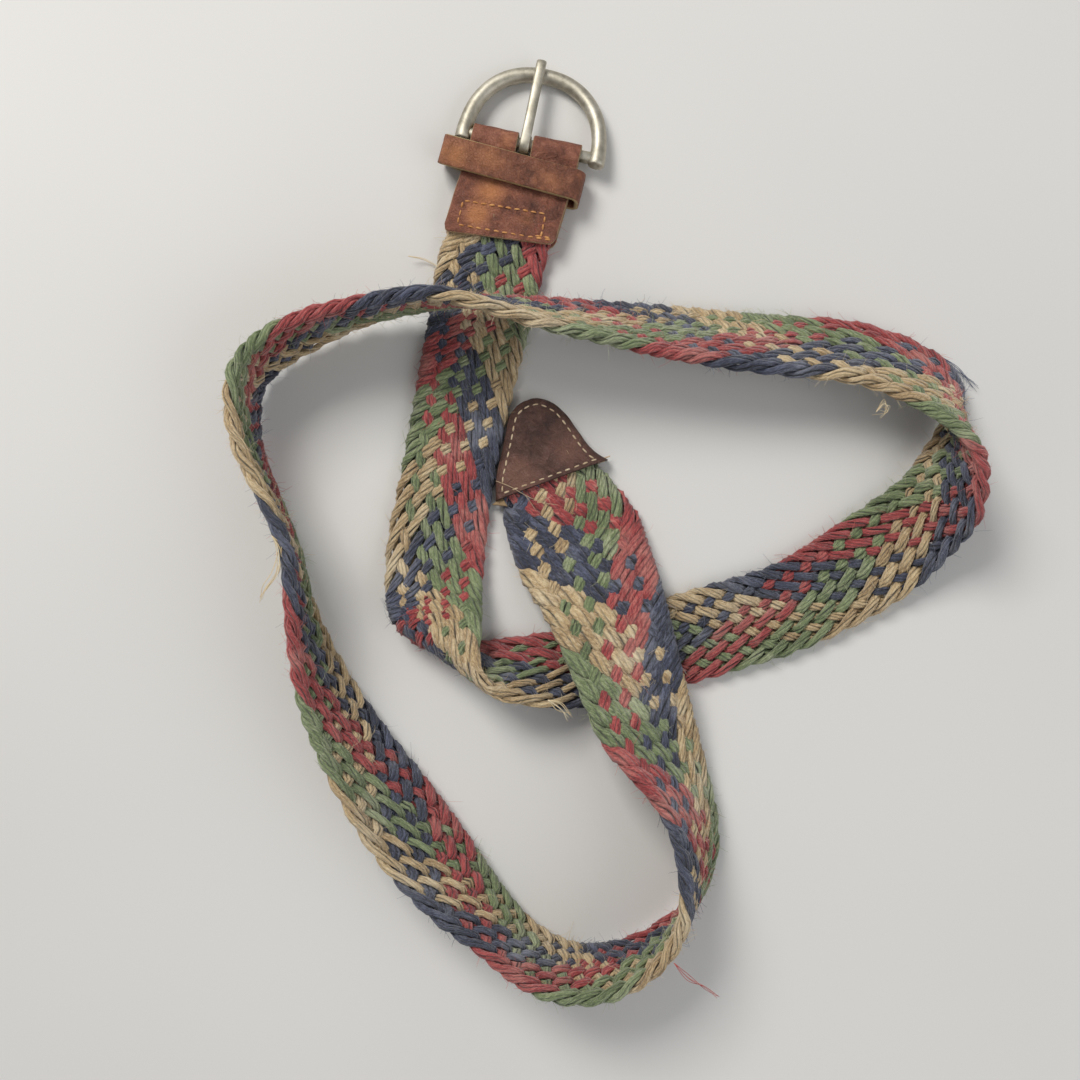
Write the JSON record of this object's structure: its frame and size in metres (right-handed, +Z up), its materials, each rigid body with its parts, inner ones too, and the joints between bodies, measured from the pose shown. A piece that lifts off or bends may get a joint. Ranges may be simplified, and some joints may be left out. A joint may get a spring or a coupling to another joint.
{
  "type": "braided belt",
  "caption": "Flat braided cord belt with a half-round metal buckle and prong, a leather tab and keeper, and a rounded leather tip, lying in loose loops",
  "frame": {"origin": "middle of the belt's lay on the surface it rests on", "axes": "+Z up from the surface, +Y towards the buckle's end, +X to the right of the lay seen from above with the buckle at the top"},
  "size_m": [0.243, 0.309, 0.0417],
  "materials": {
    "woven_cord": "coarse braided plant fibre in cream, navy, green and red",
    "tab_leather": "creased reddish brown",
    "keeper_leather": "smooth worn brown",
    "buckle_metal": "worn satin silver",
    "prong_metal": "worn satin silver",
    "tip_leather": "dark brown grained",
    "tip_back_leather": "dark brown grained"
  },
  "bodies": {
    "belt": {"woven_band": "woven_cord", "tab": "tab_leather", "keeper_loop": "keeper_leather", "tip_front": "tip_leather", "tip_back": "tip_back_leather"},
    "buckle": {"buckle_frame": "buckle_metal"},
    "prong": {"prong": "prong_metal"}
  },
  "joints": [
    {"name": "buckle_swing", "type": "hinge", "parent": "belt", "child": "buckle", "pos_m": [-0.02492, 0.12545, 0.0056], "axis": [0.9799, -0.1994, 0], "range_deg": [0, 30]},
    {"name": "prong_swing", "type": "hinge", "parent": "buckle", "child": "prong", "pos_m": [-0.02492, 0.12545, 0.0056], "axis": [0.9799, -0.1994, 0], "range_deg": [0, 60]}
  ]
}
